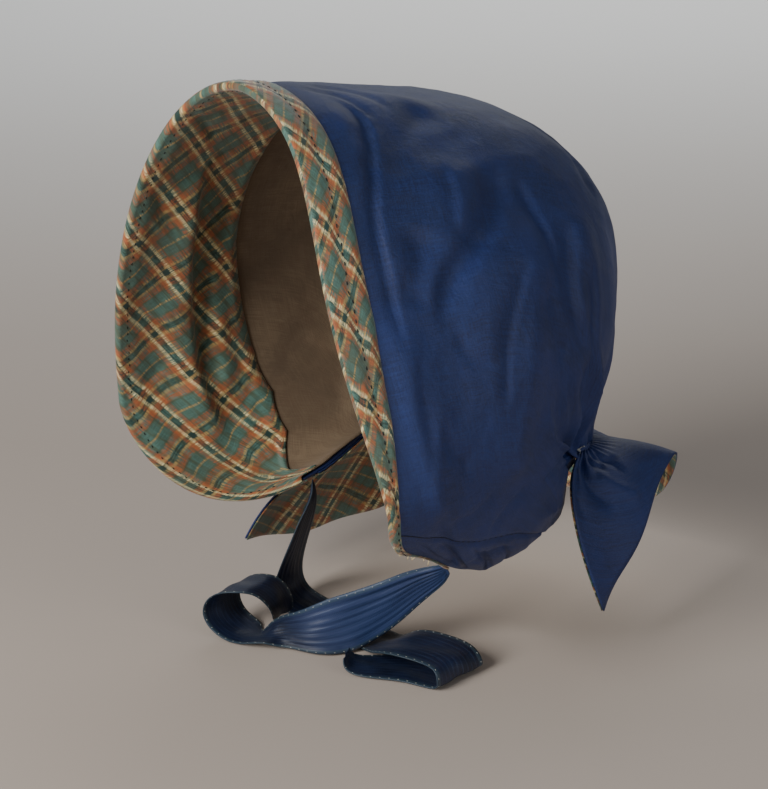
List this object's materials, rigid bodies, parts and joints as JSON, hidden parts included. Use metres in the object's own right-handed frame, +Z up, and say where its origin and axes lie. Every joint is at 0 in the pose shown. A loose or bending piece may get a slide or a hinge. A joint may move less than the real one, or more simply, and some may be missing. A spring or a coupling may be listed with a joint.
{
  "type": "quilted hood",
  "caption": "Soft padded winter hood with a wide face opening, a turned plaid facing, a flared neck curtain and two ribbon ties that hang below it.",
  "frame": {"origin": "where the inside of the crown sits on top of the wearer's head", "axes": "+Z up, the face opening looks along -Y, +X is the wearer's left"},
  "size_m": [0.2626, 0.2975, 0.3571],
  "materials": {
    "blue_silk": "plain-woven blue silk with a soft sheen",
    "plaid_silk": "green, rust and cream plaid silk, laid on the bias",
    "brown_lining": "matt brown plain weave",
    "navy_ribbon": "dark blue ribbed silk ribbon"
  },
  "bodies": {
    "root": {"outer_shell": "blue_silk", "brim_facing": "plaid_silk", "crown_lining": "brown_lining", "curtain": "blue_silk", "curtain_lining": "plaid_silk", "tie_left": "navy_ribbon", "tie_right": "navy_ribbon"}
  },
  "joints": []
}
